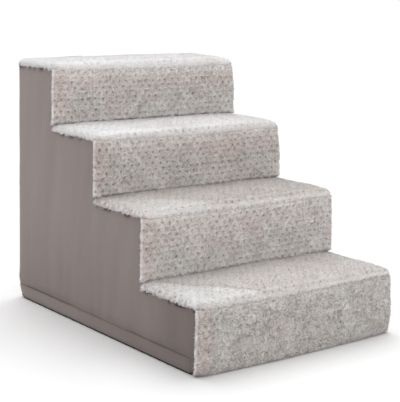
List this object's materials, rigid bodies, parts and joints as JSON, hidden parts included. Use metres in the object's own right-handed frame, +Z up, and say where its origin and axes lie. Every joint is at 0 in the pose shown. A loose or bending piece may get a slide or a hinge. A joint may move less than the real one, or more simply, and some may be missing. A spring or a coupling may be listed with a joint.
{
  "type": "pet stairs",
  "caption": "Low foam stairs for a pet to climb onto furniture: plush treads and risers, smooth cloth sides and back, and a zipped cover over a glued foam stack.",
  "frame": {"origin": "on the floor, at the middle of the footprint", "axes": "+Z up; +Y towards the back, the way a pet climbs; +X to the right of someone facing the stairs"},
  "size_m": [0.41, 0.573, 0.45],
  "materials": {
    "plush": "matte",
    "side_cloth": "matte",
    "firm_foam": "matte",
    "soft_foam": "matte",
    "grip_cloth": "matte",
    "zip_tape": "matte",
    "zip_teeth": "satin",
    "zip_metal": "satin"
  },
  "bodies": {
    "stairs": {"foam_slab_1": "firm_foam", "foam_slab_2": "firm_foam", "foam_slab_3": "firm_foam", "foam_slab_4": "firm_foam", "topper_pad_1": "soft_foam", "topper_pad_2": "soft_foam", "topper_pad_3": "soft_foam", "topper_pad_4": "soft_foam", "tread_cover_1": "plush", "tread_cover_2": "plush", "tread_cover_3": "plush", "tread_cover_4": "plush", "riser_cover_1": "plush", "riser_cover_2": "plush", "riser_cover_3": "plush", "riser_cover_4": "plush", "left_side_panel": "side_cloth", "right_side_panel": "side_cloth", "left_hem_band": "side_cloth", "right_hem_band": "side_cloth", "back_panel": "side_cloth", "back_hem_strip": "side_cloth", "base_panel": "grip_cloth", "zip_tape_upper": "zip_tape", "zip_tape_lower": "zip_tape", "zip_teeth_upper": "zip_teeth", "zip_teeth_lower": "zip_teeth", "zip_top_stops": "zip_metal", "zip_bottom_stop": "zip_metal"},
    "zip_slider": {"zip_slider": "zip_metal"},
    "zip_puller": {"zip_puller": "zip_metal"}
  },
  "joints": [
    {"name": "zip_slide", "type": "slide", "parent": "stairs", "child": "zip_slider", "axis": [-1, 0, 0], "range_m": [0, 0.34]},
    {"name": "puller_swing", "type": "hinge", "parent": "zip_slider", "child": "zip_puller", "pos_m": [0.17, 0.2848, 0.03], "axis": [0, 0, -1], "range_deg": [0, 175]}
  ]
}
